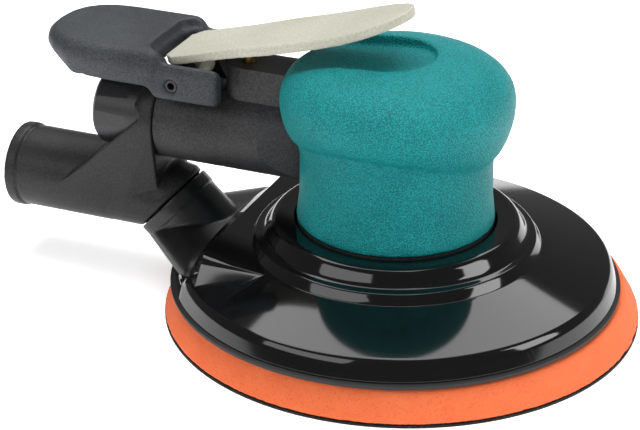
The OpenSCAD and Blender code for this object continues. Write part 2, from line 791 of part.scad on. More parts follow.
module pad_plate() {
  color("darkkhaki") at_crank() difference() {
    union() {
      translate([0, 0, plate_z]) cylinder(h = plate_t, r = plate_dia / 2);
      translate([0, 0, plate_z - 3.4]) cylinder(h = 3.5, r = 9);
    }
    translate([0, 0, plate_z - 5]) cylinder(h = 10, r = 3.9 + fit_gap);
    suction_holes(plate_z - 5, 10);
  }
}

// six holes that draw the dust up through the pad
module suction_holes(z, h) {
  for (i = [0 : 5]) rotate([0, 0, 60 * i]) translate([40, 0, z]) cylinder(h = h, r = 5, $fn = 48);
}

module pad_foam() {
  color("darkorange") at_crank() difference() {
    rotate_extrude($fn = 128) polygon([[0, foam_z], [pad_r - 0.3, foam_z], [pad_r, foam_z + 0.6],
                             [foam_top_r + 0.6, foam_top_z - 0.8], [foam_top_r - 0.3, foam_top_z],
                             [0, foam_top_z]]);
    translate([0, 0, plate_z - 0.02]) cylinder(h = 10, r = plate_dia / 2 + seat_gap);
    translate([0, 0, plate_z - 3.6]) cylinder(h = 10, r = 9 + seat_gap);
    suction_holes(foam_z - 1, 20);
  }
}

module pad_hook_face() {
  color("black") at_crank() difference() {
    cylinder(h = hook_t, r = pad_r - 0.2, $fn = 128);
    suction_holes(-1, 4);
  }
}

// ---------------------------------------------------------------- shroud

// outside of the shroud from the skirt seat up to the collar
function shroud_skin() = [
  [rim_r - 0.6, rim_z - 2.6], [rim_r, rim_z - 0.8], [rim_r - 0.8, rim_z + 0.3], [rim_r - 2.4, rim_z + 0.7],
  [cone_foot_r, cone_foot_z + 0.2], [step_r + 0.6, step_foot_z - 0.9], [step_r - 0.2, step_foot_z - 0.2],
  [step_top_r + 0.6, ledge_z + 0.1], [collar_foot_r + 0.3, ledge_z + 0.7],
  [collar_foot_r - 0.6, ledge_z + 1.6],
  [collar_r + 0.3, collar_z - 2.2], [collar_r - 0.6, collar_z - 0.9], [collar_r - 2, collar_z - 0.2],
  [collar_top_r + 1, collar_z], [collar_top_r - 1.2, collar_z + 0.5]];

// arched outline of the duct mouth, shrunk by g: a superellipse cut off at a floor
module mouth_outline(g, floor_z) {
  w = hood_half_w - g;
  h = hood_top_z - g - hood_floor_z;
  intersection() {
    polygon([for (k = [0 : 24]) let (a = 7.5 * k, p = 2 / hood_power)
               [hood_floor_z + h * pow(sin(a), p), w * sign(cos(a)) * pow(abs(cos(a)), p)]]);
    translate([floor_z, -w]) square([h + hood_floor_z - floor_z, 2 * w]);
  }
}

// a slice of that outline, t long, with its back face d behind the motor axis
module mouth_slice(d, t, g, floor_z) {
  translate([-d, 0, 0]) rotate([0, 90, 0]) mirror([1, 0, 0]) linear_extrude(height = t)
    mouth_outline(g, floor_z);
}

// hood that fans out from the duct mouth to the step of the shroud
module hood(g, back, floor_z) {
  hull() {
    mouth_slice(hood_x + back, 1, g, floor_z);
    translate([-hood_front - 1, -hood_front_half_w + g, floor_z])
      cube([1, 2 * (hood_front_half_w - g), step_foot_z - g - floor_z]);
  }
}

module shroud_bowl(inside) {
  skin = shroud_skin();
  w = shroud_wall;
  rotate_extrude($fn = 128) if (inside)
    polygon([[0, 0], [rim_r - w - 0.4, 0], [rim_r - w - 0.4, rim_z - 1.6],
             [cone_foot_r - 0.6, cone_foot_z - w],
             [step_r - 1, step_foot_z - w - 0.8], [0, step_foot_z - w - 0.8]]);
  else polygon(concat([[0, rim_z - 2.6]], skin, [[0, collar_z + 0.5]]));
}

module shroud() {
  color("black") difference() {
    union() {
      shroud_bowl(false);
      hood(0, 0, hood_floor_z);
    }
    shroud_bowl(true);
    hood(hood_wall, 1, hood_floor_z + hood_wall);
    connector_body(seat_gap);
    translate([0, 0, -1]) cylinder(h = 50, r = barrel_r + seat_gap);
  }
}

// rubber skirt pressed around the rim of the shroud
module shroud_skirt() {
  color("black") rotate_extrude($fn = 128)
    polygon([[rim_r - skirt_t, skirt_z], [skirt_r, skirt_z], [skirt_r + 0.1, skirt_z + 1],
             [rim_r + 0.9, rim_z - 2.8], [rim_r - skirt_t, rim_z - 2.8]]);
}

module shroud_clamp_ring() {
  color("silver") difference() {
    ring(clip_z, clip_h, barrel_r - 1.2, barrel_r + 2.4);
    translate([-60, -3, clip_z - 1]) cube([60, 6, 6]);
  }
}

// ---------------------------------------------------------------- vacuum duct

module duct_axis() {
  translate([-collar_x, 0, collar_cz]) rotate([0, 90 + duct_slope, 0]) children();
}

// a slice of the round neck of the connector, squashed against its lower side, grown by g
module neck_slice(at, squash, g) {
  r = duct_r - (squash < 1 ? 1.4 : 0.4);
  duct_axis() translate([(1 - squash) * r, 0, at]) scale([(squash * r + g) / (r + g), 1, 1])
    cylinder(h = 2, r = r + g, $fn = 48);
}

// flat funnel to the mouth, with the round neck running down into it, grown by g
module connector_form(mouth_x, lip, g) {
  hull() {
    neck_slice(3.4, connector_flat, g);
    mouth_slice(mouth_x, 2.2, lip - g, connector_floor_z - g);
  }
  intersection() {
    duct_axis() translate([0, 0, 2]) cylinder(h = 24, r = duct_r - 0.4 + g, $fn = 48);
    hull() {
      neck_slice(2, 1, g);
      mouth_slice(mouth_x, 2.2, lip - g, connector_floor_z - g);
    }
  }
}

module connector_body(g = 0) {
  connector_form(hood_x + 2.4, 0.6, g);
}

module vacuum_connector() {
  lip = hood_wall + seat_gap;
  wall = connector_wall;
  color("black") difference() {
    union() {
      duct_axis() cylinder(h = 4.4, r = duct_r);
      connector_body();
      mouth_slice(hood_x + 1, connector_foot + 1, lip, connector_floor_z);
    }
    duct_axis() translate([0, 0, -1]) cylinder(h = 8, r = duct_r - duct_wall);
    connector_form(hood_x + 1.6, lip, -wall - 0.1);
    mouth_slice(hood_x + 1.2, connector_foot + 3, lip + wall, connector_floor_z + wall);
  }
}

module vacuum_elbow() {
  color("black") difference() {
    union() {
      x_rod(tube_end, bend_x + 16, tube_z, tube_r);
      x_rod(tube_end, tube_end - bead_len, tube_z, bead_r);
      // bend from the tube down to the shoulder of the spigot
      hull() {
        x_rod(bend_x + 16, bend_x + 12, tube_z, tube_r - 0.2, $fn = 48);
        duct_axis() translate([0, 0, -2.4]) cylinder(h = 2, r = duct_r - 0.5, $fn = 48);
      }
      duct_axis() translate([0, 0, -2]) cylinder(h = 7, r = spigot_r);
      // web between the tube and the clamping ring
      difference() {
        hull() {
          x_rod(handle_end + flange_gap + flange_t, handle_end + flange_gap, handle_z, flange_r);
          x_rod(web_back, bend_x + 8, tube_z, tube_r - 0.1);
          x_rod(bend_x + 8, handle_end + flange_gap, tube_z + 3, tube_r - 3);
        }
        x_rod(web_back + 20, bushing_x - 0.05, handle_z, bushing_r + move_gap);
        // straight upper edge of the web
        translate([-bushing_x + 0.05, -30, handle_z + 3]) rotate([0, web_slope, 0])
          translate([-80, 0, 0]) cube([80, 60, 60]);
      }
    }
    // groove behind the bead
    difference() {
      x_rod(tube_end - bead_len, tube_end - bead_len - groove_len, tube_z, 20);
      x_rod(tube_end, tube_end - 10, tube_z, tube_r - 0.3);
    }
    x_rod(tube_end + 1, bend_x, tube_z, tube_r - tube_wall);
    duct_axis() translate([0, 0, -5.4]) cylinder(h = 20, r = spigot_r - 1.8);
    // shoulder that the rim of the connector meets
    duct_axis() ring(-0.2, 30, spigot_r, 40);
    // groove for the seal in the spigot
    duct_axis() ring(spigot_seal_z - 0.5, 1, spigot_r - 0.8, spigot_r + 1);
    x_rod(90, 70, handle_z, thread_r + 0.3);
  }
}

module elbow_o_ring() {
  color("black") duct_axis() translate([0, 0, spigot_seal_z]) o_ring(spigot_r - 0.3, 0.45);
}

motor_housing();
grip_cover();
throttle_lever();
lever_pin();
wrist_platform();
inlet_bushing();
inlet_screen();
bushing_o_ring();
valve_stem();
valve_o_ring();
valve_seat();
valve_spring();
cylinder_liner();
rotor();
rotor_vanes();
rotor_key();
upper_end_plate();
lower_end_plate();
upper_bearing();
lower_bearing();
motor_lock_ring();
cylinder_o_ring();
alignment_pin();
shaft_balancer();
spindle_bearings();
bearing_clip();
pad_spindle();
pad_plate();
pad_foam();
pad_hook_face();
shroud();
shroud_skirt();
shroud_clamp_ring();
vacuum_connector();
vacuum_elbow();
elbow_o_ring();
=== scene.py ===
# %% [markdown]
# # Air-powered orbital sander
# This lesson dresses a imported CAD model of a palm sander: a rubber grip, a lever, a wrist rest,
# a glossy shroud, a hose duct and an orange foam pad. The CAD already has every piece in its
# place and its real size, in metres, so the lesson is about surfaces, light and a few soft pieces.

# %% Load the frame
import math
import bmesh
import bpy
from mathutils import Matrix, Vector


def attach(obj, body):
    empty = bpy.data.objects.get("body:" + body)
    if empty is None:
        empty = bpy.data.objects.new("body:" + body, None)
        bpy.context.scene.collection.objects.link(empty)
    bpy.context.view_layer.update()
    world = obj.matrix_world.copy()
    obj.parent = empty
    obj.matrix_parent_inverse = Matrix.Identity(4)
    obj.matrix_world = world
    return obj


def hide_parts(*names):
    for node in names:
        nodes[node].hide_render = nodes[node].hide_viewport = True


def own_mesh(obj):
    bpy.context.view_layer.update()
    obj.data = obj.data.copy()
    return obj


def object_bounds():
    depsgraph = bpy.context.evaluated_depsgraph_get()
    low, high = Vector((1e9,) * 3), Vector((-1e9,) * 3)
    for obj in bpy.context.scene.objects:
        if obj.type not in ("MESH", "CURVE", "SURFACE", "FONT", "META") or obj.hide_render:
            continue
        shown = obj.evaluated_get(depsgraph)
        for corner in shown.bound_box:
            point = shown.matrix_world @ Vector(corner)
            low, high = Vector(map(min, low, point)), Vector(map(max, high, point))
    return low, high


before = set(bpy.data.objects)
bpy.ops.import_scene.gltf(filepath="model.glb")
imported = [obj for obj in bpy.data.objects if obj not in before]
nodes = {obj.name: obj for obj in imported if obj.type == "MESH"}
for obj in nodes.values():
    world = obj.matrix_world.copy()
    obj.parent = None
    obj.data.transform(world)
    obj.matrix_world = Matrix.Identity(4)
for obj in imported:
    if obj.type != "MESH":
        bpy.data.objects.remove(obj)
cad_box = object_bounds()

MM = 0.001
scene = bpy.context.scene
print("pieces in the frame:", len(nodes))

# %% [markdown]
# ## Camera
# A long lens from 0.7 m keeps the pad's ellipse calm, as on a catalogue picture. The camera could
# be aimed with a constraint, but two plain angles are easier to read and never move by themselves.

# %% Place the camera
CAMERA_AZIMUTH = math.radians(20.5)
CAMERA_HEIGHT = math.radians(28.38)
CAMERA_DISTANCE = 0.7
AIM_LEFT = math.radians(2.225)
AIM_UP = math.radians(2.396)
SENSOR_WIDTH = 36.0     # mm
FOCAL_LENGTH = 121.93   # mm

lens = bpy.data.cameras.new("long_lens")
lens.sensor_width = SENSOR_WIDTH
lens.lens = FOCAL_LENGTH
camera = bpy.data.objects.new("camera", lens)
scene.collection.objects.link(camera)
ground_range = CAMERA_DISTANCE * math.cos(CAMERA_HEIGHT)
camera.location = (ground_range * math.sin(CAMERA_AZIMUTH),
                   -ground_range * math.cos(CAMERA_AZIMUTH),
                   CAMERA_DISTANCE * math.sin(CAMERA_HEIGHT))
camera.rotation_euler = (math.pi / 2 - CAMERA_HEIGHT + AIM_UP, 0, CAMERA_AZIMUTH + AIM_LEFT)
scene.camera = camera
print("camera at", [round(v, 3) for v in camera.location])

# %% [markdown]
# ## Arithmetic on sockets
# A finish is a small graph of nodes. Drawing it by hand is slow to read, so a thin wrapper lets a
# socket take part in sums and products. Each sum adds one Math node behind the scenes.

# %% Wrap a socket
class Wire:
    """One output of a finish's graph that can be added, multiplied and compared."""

    def __init__(self, finish, socket):
        self.finish = finish
        self.socket = socket

    def math(self, operation, a, b):
        return self.finish.add("ShaderNodeMath", {"operation": operation}, {0: a, 1: b})

    def __add__(self, other):
        return self.math("ADD", self, other)

    def __rsub__(self, other):
        return self.math("SUBTRACT", other, self)

    def __mul__(self, other):
        return self.math("MULTIPLY", self, other)

    __radd__ = __add__
    __rmul__ = __mul__

    def above(self, low, high):
        """0 below low, 1 above high, and smooth between."""
        return self.finish.add("ShaderNodeMapRange", {"interpolation_type": "SMOOTHSTEP"},
                               {0: self, 1: low, 2: high, 3: 0.0, 4: 1.0})


# %% [markdown]
# ## A finish as an object
# A real surface is one material with several slow and fine changes over it. Every finish here is
# one Principled shader whose sockets are fed by noises and cells. They're placed by the object's
# own coordinates, which need no unwrapping and stay with the piece when it moves.

# %% Describe a finish
class Finish:
    """A material with one Principled shader and a graph in front of it."""

    def __init__(self, name, rough=0.5, metal=0.0, ior=1.5):
        self.material = bpy.data.materials.new(name)
        self.material.use_nodes = True
        self.tree = self.material.node_tree
        self.shader = self.tree.nodes["Principled BSDF"]
        self.set("Roughness", rough)
        self.set("Metallic", metal)
        self.set("IOR", ior)
        self.place = self.add("ShaderNodeTexCoord", out="Object")

    def add(self, kind, settings=None, sockets=None, out=0):
        node = self.tree.nodes.new(kind)
        for key, value in (settings or {}).items():
            setattr(node, key, value)
        for key, value in (sockets or {}).items():
            if isinstance(value, Wire):
                self.tree.links.new(value.socket, node.inputs[key])
            else:
                node.inputs[key].default_value = value
        return Wire(self, node.outputs[out])

    def set(self, name, value):
        if isinstance(value, Wire):
            self.tree.links.new(value.socket, self.shader.inputs[name])
        else:
            self.shader.inputs[name].default_value = value

    def noise(self, scale, detail=3.0, rough=0.5, stretch=None):
        return self.add("ShaderNodeTexNoise", {}, {"Vector": self.where(stretch), "Scale": scale,
                                                   "Detail": detail, "Roughness": rough})

    def cells(self, scale, feature="F1", smooth=None):
        sockets = {"Vector": self.place, "Scale": scale}
        if smooth is not None:
            sockets["Smoothness"] = smooth
        return self.add("ShaderNodeTexVoronoi", {"feature": feature}, sockets, out="Distance")

    def where(self, stretch=None):
        if stretch is None:
            return self.place
        return self.add("ShaderNodeMapping", {}, {"Vector": self.place, "Scale": stretch})

    def mix(self, amount, first, second):
        return self.add("ShaderNodeMix", {"data_type": "RGBA"},
                        {"Factor": amount, 6: first, 7: second}, out=2)

    def bump(self, height, depth, soft_edge=0.0):
        sockets = {"Height": height, "Distance": depth, "Strength": 1.0}
        if soft_edge:
            sockets["Normal"] = self.add("ShaderNodeBevel", {"samples": 6}, {"Radius": soft_edge})
        self.set("Normal", self.add("ShaderNodeBump", {}, sockets))

    def paint(self, *names):
        for name in names:
            piece = nodes[name] if isinstance(name, str) else name
            piece.data.materials.clear()
            piece.data.materials.append(self.material)


def shade(value):
    """A screen colour of 0 to 255 as the linear colour that a shader takes."""
    return tuple(c / 255 / 12.92 if c <= 10 else ((c / 255 + 0.055) / 1.055) ** 2.4 for c in value)


def rgba(value):
    return (*shade(value), 1.0)


print("finish helpers ready")

# %% [markdown]
# ## Rubber of the grip
# The grip is teal rubber moulded over the stiff head, with a fine leather-like pebble that the
# mould's etched wall leaves. Rounded Voronoi cells give the pebble, and a slow noise breaks it up
# so that no patch repeats.

# %% Mix the teal rubber
def teal_rubber():
    rubber = Finish("teal_rubber", rough=0.46)
    drift = rubber.noise(60.0, 3.0)
    pebble = rubber.cells(2300.0, "SMOOTH_F1", 0.35)
    grain = rubber.noise(2400.0, 2.0)
    height = pebble * -1.0 + grain * 0.5 + drift * 0.15
    tone = drift * 0.35 + (1 - pebble.above(0.15, 0.6)) * 0.65
    rubber.set("Base Color", rubber.mix(tone, rgba((0, 92, 98)), rgba((28, 170, 168))))
    rubber.set("Roughness", 0.42 + grain * 0.14)
    rubber.set("Specular IOR Level", 0.22)
    rubber.bump(height, 0.3 * MM)
    return rubber


# %% [markdown]
# ## Moulded plastics
# The plastics differ in colour, gloss and grain: the off-white lever, the charcoal wrist rest, the
# dark composite of the handle, and the satin black of the hose parts. Each could be a material of
# its own, but one function with those values as parameters keeps them a family. A bevel in the
# shading rounds the last sharp edges, without a change to the mesh.

# %% Mix a grained plastic
SOFT_EDGE = 0.35 * MM


def grained_plastic(name, dark, light, rough, grain_scale, grain_depth, shine=0.5):
    plastic = Finish(name, rough=rough)
    slow = plastic.noise(45.0, 4.0)
    grain = plastic.noise(grain_scale, 4.0, 0.6)
    tone = slow.above(0.3, 0.7) * 0.35 + grain.above(0.36, 0.64) * 0.65
    plastic.set("Base Color", plastic.mix(tone, rgba(dark), rgba(light)))
    plastic.set("Specular IOR Level", shine)
    plastic.set("Roughness", rough - 0.06 + grain * 0.12)
    plastic.bump(grain, grain_depth, SOFT_EDGE)
    return plastic


# %% [markdown]
# ## Gloss black of the shroud
# The shroud is polished black plastic that mirrors the studio. A real one is never quite flat and
# never quite clean, so a very shallow waviness and a few dust specks and hairline scratches go on.

# %% Mix the gloss black
def gloss_black():
    gloss = Finish("gloss_black", rough=0.1, ior=1.52)
    wave = gloss.noise(35.0, 1.0)
    specks = gloss.cells(900.0).above(0.0, 0.10)
    scratch = gloss.noise(90.0, 2.0, 0.5, stretch=(1.0, 22.0, 1.0)).above(0.66, 0.72)
    gloss.set("Base Color", gloss.mix(1 - specks, rgba((9, 9, 10)), rgba((40, 40, 42))))
    gloss.set("Roughness", 0.07 + (1 - specks) * 0.15 + scratch * 0.05)
    gloss.bump(wave, 0.03 * MM, SOFT_EDGE)
    return gloss


# %% [markdown]
# ## Foam of the pad
# The pad is orange closed-cell foam with a cut side: slightly mottled, matt, with fine pores. The
# pores could be cut into the mesh, but they're smaller than its faces, so small cells darken the
# colour and dent the shading instead.

# %% Mix the foam
def orange_foam():
    foam = Finish("orange_foam", rough=0.8)
    mottle = foam.noise(150.0, 4.0, 0.6)
    pores = foam.cells(1300.0).above(0.0, 0.35)
    broad = foam.noise(40.0, 2.0)
    foam.set("Base Color", foam.mix(mottle * 0.5 + broad * 0.3 + pores * 0.25,
                                    rgba((210, 74, 30)), rgba((233, 119, 68))))
    foam.set("Roughness", 0.72 + mottle * 0.15)
    foam.bump(pores * 0.6 + mottle, 0.25 * MM)
    return foam


# %% [markdown]
# ## Metals and seals
# Metal parts inside the head show turning marks, so their noise is drawn out into thin lines. The
# rubber seals and the skirt are plain matt black with a little bloom, and the pad's underside is
# a fabric of small hooks.

# %% Mix the small finishes
def turned_metal(name, colour, rough=0.28):
    metal = Finish(name, rough=rough, metal=1.0)
    lines = metal.noise(40.0, 3.0, 0.6, stretch=(1.0, 1.0, 40.0))
    metal.set("Base Color", metal.mix(lines, rgba([c * 0.82 for c in colour]), rgba(colour)))
    metal.set("Roughness", rough - 0.06 + lines * 0.14)
    metal.bump(lines, 0.02 * MM)
    return metal


def seal_rubber():
    seal = Finish("seal_rubber", rough=0.6)
    bloom = seal.noise(220.0, 4.0)
    seal.set("Base Color", seal.mix(bloom, rgba((14, 14, 14)), rgba((30, 30, 31))))
    seal.set("Roughness", 0.5 + bloom * 0.2)
    seal.bump(bloom, 0.05 * MM)
    return seal


def hook_fabric():
    hooks = Finish("hook_fabric", rough=0.85)
    loops = hooks.cells(900.0)
    hooks.set("Base Color", hooks.mix(loops.above(0.1, 0.5),
                                      rgba((46, 44, 42)), rgba((12, 12, 12))))
    hooks.bump(1 - loops, 0.4 * MM)
    return hooks


# %% [markdown]
# ## Moulded skins
# A mould has no knife edges. A voxel remesh gives a CAD piece an even skin, and a few passes of a
# smoothing modifier round its edges and its facets by a fraction of a millimetre. A bevel modifier
# would need clean edges to follow. The CAD mesh itself stays as it is: both are modifiers on top.

# %% Round the moulded pieces
SMOOTHING = 0.5   # how far one pass moves a point towards its neighbours' middle


def moulded(name, voxel, passes):
    piece = nodes[name]
    skin = piece.modifiers.new("skin", "REMESH")
    skin.mode = "VOXEL"
    skin.voxel_size = voxel * MM
    skin.use_smooth_shade = True
    rounding = piece.modifiers.new("rounding", "SMOOTH")
    rounding.factor = SMOOTHING
    rounding.iterations = passes


moulded("wrist_platform", 0.6, 16)
moulded("grip_cover", 0.6, 8)
moulded("vacuum_elbow", 0.5, 6)
moulded("vacuum_connector", 0.4, 6)
moulded("throttle_lever", 0.4, 3)
print("rounded five moulded pieces")


# %% [markdown]
# ## Foam pad
# The foam is a soft piece, so it gets an object of its own: a copy of the plain solid with an
# even skin, soft corners, and a surface that a slow noise sinks by up to a fifth of a millimetre,
# as on cut foam. A cloth simulation would do more than this stiff foam shows.

# %% Make the foam
FOAM_VOXEL = 0.7 * MM
SWELL_WIDTH = 5 * MM
SWELL_DEPTH = 0.18 * MM


def make_foam():
    foam = bpy.data.objects.new("foam_pad", nodes["pad_foam"].data.copy())
    scene.collection.objects.link(foam)
    skin = foam.modifiers.new("skin", "REMESH")
    skin.mode = "VOXEL"
    skin.voxel_size = FOAM_VOXEL
    skin.use_smooth_shade = True
    soft = foam.modifiers.new("soft_corners", "SMOOTH")
    soft.factor = SMOOTHING
    soft.iterations = 5
    swell = bpy.data.textures.new("foam_swell", "CLOUDS")
    swell.noise_scale = SWELL_WIDTH
    uneven = foam.modifiers.new("uneven", "DISPLACE")
    uneven.texture = swell
    uneven.texture_coords = "LOCAL"
    uneven.mid_level = 1.0   # the surface only sinks, so the pad stays inside its solid
    uneven.strength = SWELL_DEPTH
    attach(foam, "pad")
    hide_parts("pad_foam")
    return foam


foam_pad = make_foam()
print("foam pad made")

# %% [markdown]
# ## Valve spring
# The stem comes down on the spring when the lever is pressed. A coil that rode on either body
# would cut through the other. So a copy of it stands for the CAD piece and stays on its seat.


def make_spring():
    coil = bpy.data.objects.new("valve_coil", nodes["valve_spring"].data.copy())
    scene.collection.objects.link(coil)
    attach(coil, "housing")
    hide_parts("valve_spring")
    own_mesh(coil)
    return coil


valve_coil = make_spring()
print("spring made")

# %% [markdown]
# ## Shroud shell
# The shroud is one glossy moulding: a collar, a ledge, a shallow cone and a tall rim. Gloss shows
# every degree of slope, so its visible skin is turned here as on a lathe, from corners with a
# rounding each, and joined to the CAD solid, which brings the mouth of the duct. Each corner of
# the cone has a second place, inside the CAD solid, and the skin glides to it beside the mouth.

# %% Give the profile
MOUTH_NEAR = 32      # degrees from the mouth where the cone ends, inside the CAD solid
MOUTH_FAR = 37       # and where it has its full form
TURN_STEP = 2        # degrees
ROUNDING_STEPS = 5   # faces across one rounding

# a corner is ((radius, height), rounding) in mm, and on the cone both places are given
COLLAR = (((46.0, 23.2), 0.0), ((31.9, 23.0), 0.0), ((31.9, 32.9), 0.5), ((38.6, 33.3), 1.9),
          ((41.6, 28.3), 1.6), ((44.4, 27.9), 0.6), ((46.0, 25.0), 0.0))
CONE = (((46.9, 24.8, 46.7, 24.3), 0.4), ((68.0, 18.95, 63.6, 15.5), 0.8),
        ((69.1, 17.2, 67.5, 14.2), 0.6), ((70.6, 12.7, 67.5, 13.4), 0.3),
        ((68.0, 12.7, 67.2, 13.5), 0.0), ((66.9, 13.7, 66.9, 13.6), 0.0),
        ((63.6, 15.0, 63.6, 14.9), 0.0), ((48.9, 22.9, 48.9, 22.9), 0.0))

print("corners of the profile:", len(COLLAR) + len(CONE))


# %% [markdown]
# ## Rounded corners
# A bevel modifier would round every edge alike. Here each corner has its own rounding, drawn as a
# quadratic curve that starts and stops at that distance from it. Both places of a corner are
# rounded together, since they're kept as one vector of four numbers.

# %% Round the corners
def moved(here, there, distance):
    """A point that far along the line between two corners. Both of its places move alike."""
    share = min(distance / (there.xy - here.xy).length, 0.45)
    if len(here) > len(there):
        there = Vector((*there, *there))
    return here.lerp(Vector(there[:len(here)]), share)


def rounded(corners):
    """Each corner of a closed profile as a list of points: itself, or the curve of its rounding."""
    runs = []
    places = [Vector(place) for place, _ in corners]
    for i, (_, size) in enumerate(corners):
        before, here, after = (places[k % len(places)] for k in (i - 1, i, i + 1))
        if not size:
            runs.append([here])
            continue
        start = moved(here, before, size)
        stop = moved(here, after, size)
        steps = [k / ROUNDING_STEPS for k in range(ROUNDING_STEPS + 1)]
        runs.append([start.lerp(here, t).lerp(here.lerp(stop, t), t) for t in steps])
    return runs


# %% [markdown]
# ## The skin as a sweep
# A screw modifier would turn the profile in one step, but not change it on its way. So the rings
# of points are placed here, one for each step of the turn, and faces join each ring to the next.
# The collar goes all the way round. The cone and the rim leave out the mouth.

# %% Sweep the skin
def smooth_share(value, low, high):
    share = min(max((value - low) / (high - low), 0.0), 1.0)
    return share * share * (3 - 2 * share)


def turned(point, share, angle):
    """A point of the profile in space, turned by that many degrees from the mouth."""
    radius, height = point.xy if len(point) == 2 else Vector(point[2:]).lerp(point.xy, share)
    turn = math.radians(180 - angle)
    return Vector((radius * math.cos(turn), radius * math.sin(turn), height)) * MM


def closed_object(name, form):
    """The finished form as an object, with all its faces turned outwards."""
    bmesh.ops.recalc_face_normals(form, faces=form.faces)
    mesh = bpy.data.meshes.new(name)
    form.to_mesh(mesh)
    form.free()
    return bpy.data.objects.new(name, mesh)


def shell_skin():
    """The profile swept about the motor's axis."""
    runs = rounded(COLLAR + CONE)
    collar = [point for run in runs[:len(COLLAR)] for point in run]
    cone = [point for run in runs[len(COLLAR):] for point in run]
    form = bmesh.new()
    rings = []
    for angle in range(0, 360, TURN_STEP):
        from_mouth = min(angle, 360 - angle)
        share = smooth_share(from_mouth, MOUTH_NEAR, MOUTH_FAR)
        points = collar + cone if from_mouth >= MOUTH_NEAR else collar
        rings.append([form.verts.new(turned(point, share, angle)) for point in points])
    for near, far in zip(rings, rings[1:] + rings[:1]):
        count = min(len(near), len(far))
        for i in range(count):
            before = i - 1 if i else count - 1
            form.faces.new((near[before], near[i], far[i], far[before]))
        for longer, shorter in ((near, far), (far, near)):
            if len(longer) > len(shorter):
                form.faces.new((longer[0], *longer[len(shorter) - 1:]))
    return closed_object("shell_skin", form)


print("rings of the skin:", 360 // TURN_STEP)


# %% [markdown]
# ## Roof over the mouth
# Over the mouth the moulding is flat on top, and its two sides slope down to the rim as long
# triangles, with a groove along each. The block is lofted between a section at the collar and one
# at the rim. Its underside stays inside the wall of the CAD solid's arch, so that the duct below
# keeps its opening.

# %% Loft the roof
ROOF_UNDERSIDE = 14.4    # mm, at the two feet
ARCH_HALF_WIDTH = 35.0   # mm
ARCH_FOOT = 13.6         # mm
ARCH_RISE = 8.6          # mm
ARCH_POWER = 2.8         # 2 would be an ellipse
ARCH_STEPS = 12
# the groove: share of the way from the top to the foot, and share of its full depth
GROOVE = ((0.0, 0.0), (0.24, 0.0), (0.27, 1.0), (0.35, 1.0), (0.38, 0.0), (1.0, 0.0))
# each section: corner of the top, corner of the foot, and how deep the groove is, in mm
ROOF_SECTIONS = (((-27.8, 38.8, 24.6), (-27.8, 39.6, 24.2), 0.1),
                 ((-51.2, 33.1, 26.0), (-49.1, 45.6, 19.0), 0.8))


def roof_section(top, foot, groove_depth):
    """The upper side with its groove, the arch below, and the same side mirrored."""
    top, foot = Vector(top), Vector(foot)
    side = [top.lerp(foot, share) - Vector((0, 0, deep * groove_depth)) for share, deep in GROOVE]
    side.append(Vector((foot.x, foot.y, ROOF_UNDERSIDE)))
    arch = []
    for k in range(1, ARCH_STEPS):
        across = math.cos(math.pi * k / ARCH_STEPS)
        rise = (1 - abs(across) ** ARCH_POWER) ** (1 / ARCH_POWER)
        arch.append(Vector((top.x, ARCH_HALF_WIDTH * across, ARCH_FOOT + ARCH_RISE * rise)))
    return [*side, *arch, *(Vector((point.x, -point.y, point.z)) for point in reversed(side))]


def roof_block():
    form = bmesh.new()
    near, far = ([form.verts.new(point * MM) for point in roof_section(*section)]
                 for section in ROOF_SECTIONS)
    for i in range(len(near)):
        form.faces.new((near[i - 1], near[i], far[i], far[i - 1]))
    form.faces.new(near)
    form.faces.new(far)
    return closed_object("roof_block", form)


print("sections of the roof:", len(ROOF_SECTIONS))

# %% [markdown]
# ## One moulding
# The skin, the roof and the CAD solid become one closed form with a boolean union. Overlapping
# pieces would look alike from most sides, but gloss shows where one dips into another. A copy of
# the CAD solid is planed down first where the new collar covers it. Weighted normals then keep
# the broad faces calm beside the small roundings.

# %% Join the shell
PLANED_RADIUS = 52.0            # mm
PLANED_HEIGHT = 23.9            # mm
SAME_POINT = 0.002              # mm between points that are made one
SHARP_EDGE = math.radians(32)   # an edge that turns more than this stays sharp


def planed_core(name):
    """The CAD solid without its collar: split corners made one point, then planed flat."""
    form = bmesh.new()
    form.from_mesh(nodes["shroud"].data)
    bmesh.ops.remove_doubles(form, verts=form.verts, dist=SAME_POINT * MM)
    for point in form.verts:
        if point.co.xy.length < PLANED_RADIUS * MM:
            point.co.z = min(point.co.z, PLANED_HEIGHT * MM)
    mesh = bpy.data.meshes.new(name)
    form.to_mesh(mesh)
    form.free()
    return bpy.data.objects.new(name, mesh)


def make_shell():
    shell = planed_core("shroud_shell")
    scene.collection.objects.link(shell)
    parts = [shell_skin(), roof_block()]
    for part in parts:
        scene.collection.objects.link(part)
        join = shell.modifiers.new("join", "BOOLEAN")
        join.operation = "UNION"
        join.solver = "EXACT"
        join.object = part
    depsgraph = bpy.context.evaluated_depsgraph_get()
    joined = bpy.data.meshes.new_from_object(shell.evaluated_get(depsgraph))
    shell.modifiers.clear()
    shell.data = joined
    for part in parts:
        bpy.data.objects.remove(part)
    shell.data.shade_smooth()
    shell.data.set_sharp_from_angle(angle=SHARP_EDGE)
    shine = shell.modifiers.new("even_shine", "WEIGHTED_NORMAL")
    shine.weight = 100
    shine.keep_sharp = True
    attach(shell, "housing")
    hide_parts("shroud")
    return shell


shroud_shell = make_shell()
print("faces of the shell:", len(shroud_shell.data.polygons))

# %% [markdown]
# ## The set of finishes
# Colours are given as they should look on a screen, and the helper turns them into linear light.
# Each plastic has a dark and a light tone, its roughness, how fine its grain is, and how deep.

